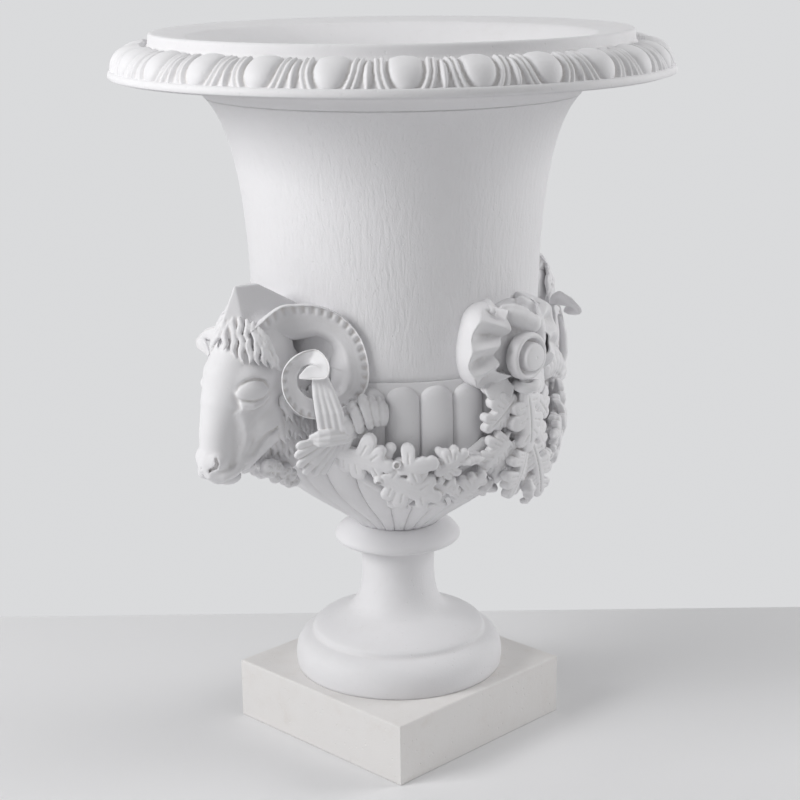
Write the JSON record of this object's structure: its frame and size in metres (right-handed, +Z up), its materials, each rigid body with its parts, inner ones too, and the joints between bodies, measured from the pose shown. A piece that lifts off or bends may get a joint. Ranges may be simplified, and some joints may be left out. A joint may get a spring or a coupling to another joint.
{
  "type": "urn planter",
  "caption": "Free-standing urn planter: square plinth, turned foot, gadrooned bowl and flared bell with rams' heads, horns, ribbons, oak garlands and an egg-and-dart rim.",
  "frame": {"origin": "centre of the plinth's underside, on the turning axis", "axes": "+Z up along the turning axis; +X and -X to the two rams' heads; +Y and -Y to the two bows; plinth sides along X and Y"},
  "size_m": [0.762, 0.762, 1],
  "materials": {
    "turned_stone": "matt white cast marble, brushed and washed",
    "carved_stone": "matt white cast marble, modelled ornament",
    "dowel_steel": "plain stainless rod",
    "washer_steel": "stamped stainless plate",
    "tie_brass": "turned brass, dulled",
    "seal_rubber": "black soft rubber"
  },
  "bodies": {
    "root": {"plinth": "turned_stone", "foot": "turned_stone", "collar": "turned_stone", "bowl": "turned_stone", "bell": "turned_stone", "rim": "turned_stone", "ram_head_left": "carved_stone", "ram_head_right": "carved_stone", "horn_left_front": "carved_stone", "horn_left_back": "carved_stone", "horn_right_front": "carved_stone", "horn_right_back": "carved_stone", "ribbon_left_front": "carved_stone", "ribbon_left_back": "carved_stone", "ribbon_right_front": "carved_stone", "ribbon_right_back": "carved_stone", "garland_left_front": "carved_stone", "garland_left_back": "carved_stone", "garland_right_front": "carved_stone", "garland_right_back": "carved_stone", "bow_front": "carved_stone", "bow_back": "carved_stone", "boss_front": "carved_stone", "boss_back": "carved_stone", "binding_ring_front": "carved_stone", "binding_ring_back": "carved_stone", "leaf_drop_front": "carved_stone", "leaf_drop_back": "carved_stone", "head_dowels": "dowel_steel", "boss_dowels": "dowel_steel", "tie_tube": "tie_brass", "bottom_nut": "tie_brass", "bottom_washer": "washer_steel", "sealing_washer": "seal_rubber", "top_washer": "washer_steel", "top_nut": "tie_brass"}
  },
  "joints": []
}
